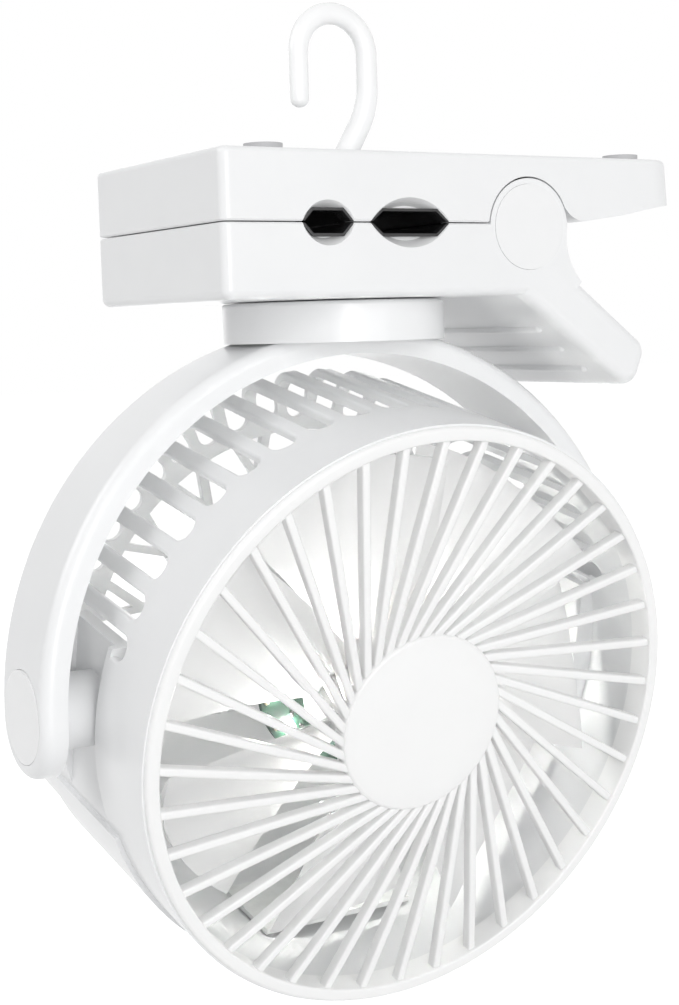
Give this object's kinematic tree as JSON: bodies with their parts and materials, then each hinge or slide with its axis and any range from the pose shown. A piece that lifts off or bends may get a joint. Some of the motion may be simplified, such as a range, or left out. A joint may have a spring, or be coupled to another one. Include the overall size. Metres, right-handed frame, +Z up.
{
  "type": "portable camping fan",
  "caption": "Round cage fan with light, tilting in a U-shaped yoke that swivels under a spring clamp with a fold-away hanging hook.",
  "frame": {"origin": "on the closing plane of the clamp jaws, where the neck's swivel axis meets it", "axes": "+X along the clamp from jaw tips to levers, -Y the front of the fan, +Z up, with the fan hanging as in the picture"},
  "size_m": [0.175, 0.1173, 0.2451],
  "materials": {
    "shell_white": "smooth satin gloss white",
    "cap_white": "smooth gloss white",
    "hook_white": "slightly milky white",
    "blade_white": "gloss white",
    "grip_rubber": "matte black",
    "foot_rubber": "matte grey",
    "steel": "plain zinc plated",
    "circuit_green": "satin solder mask",
    "cell_blue": "shrink sleeve",
    "lens_milky": "milky diffuser"
  },
  "bodies": {
    "clamp_base": {"upper_jaw": "shell_white", "upper_grip_pad": "grip_rubber", "foot_front_left": "foot_rubber", "foot_back_left": "foot_rubber", "foot_front_right": "foot_rubber", "foot_back_right": "foot_rubber", "hook_pin": "steel", "clamp_pin": "steel", "clamp_spring": "steel"},
    "hanging_hook": {"hook": "hook_white"},
    "lower_clamp": {"lower_jaw": "shell_white", "lower_grip_pad": "grip_rubber", "clamp_cap_front": "cap_white", "clamp_cap_back": "cap_white"},
    "neck_yoke": {"neck": "shell_white", "neck_washer": "steel", "neck_screw": "steel", "yoke": "shell_white", "yoke_cap_left": "cap_white", "yoke_cap_right": "cap_white"},
    "fan_head": {"rear_housing": "shell_white", "front_grille": "shell_white", "battery_cover": "shell_white", "control_panel": "shell_white", "control_board": "circuit_green", "usb_port": "steel", "battery_cell_upper": "cell_blue", "battery_cell_lower": "cell_blue", "cover_screw_left": "steel", "cover_screw_right": "steel", "screw_post_left": "cap_white", "screw_post_right": "cap_white", "pivot_screw_left": "steel", "pivot_screw_right": "steel", "motor": "steel", "led_board": "circuit_green", "led_lens": "lens_milky"},
    "fan_switch": {"fan_button": "cap_white"},
    "light_switch": {"light_button": "cap_white"},
    "air_wheel": {"blade_wheel": "blade_white", "motor_shaft": "steel"}
  },
  "joints": [
    {"name": "hook_fold", "type": "hinge", "parent": "clamp_base", "child": "hanging_hook", "pos_m": [-0.0052, -0.012, 0.013], "axis": [-1, 0, 0], "range_deg": [0, 90]},
    {"name": "clamp_hinge", "type": "hinge", "parent": "clamp_base", "child": "lower_clamp", "pos_m": [0.0362, 0, -0.0009], "axis": [0, -1, 0], "range_deg": [0, 28], "stiffness_Nm_per_rad": 1.5, "springref_deg": -45.84, "deforming": ["clamp_spring"]},
    {"name": "neck_swivel", "type": "hinge", "parent": "lower_clamp", "child": "neck_yoke", "pos_m": [0, 0, -0.0176], "axis": [0, 0, 1], "range_deg": [-175, 175]},
    {"name": "head_tilt", "type": "hinge", "parent": "neck_yoke", "child": "fan_head", "pos_m": [0, 0, -0.1118], "axis": [1, 0, 0], "range_deg": [-25, 75]},
    {"name": "wheel_spin", "type": "hinge", "parent": "fan_head", "child": "air_wheel", "pos_m": [0, 0, -0.1118], "axis": [0, -0.9799, -0.1994], "continuous": true},
    {"name": "fan_button_press", "type": "slide", "parent": "fan_head", "child": "fan_switch", "axis": [0, -0.1994, 0.9799], "range_m": [0, 0.0008], "stiffness_N_per_m": 400, "springref_m": -0.0015},
    {"name": "light_button_press", "type": "slide", "parent": "fan_head", "child": "light_switch", "axis": [0, -0.1994, 0.9799], "range_m": [0, 0.0008], "stiffness_N_per_m": 400, "springref_m": -0.0015}
  ]
}
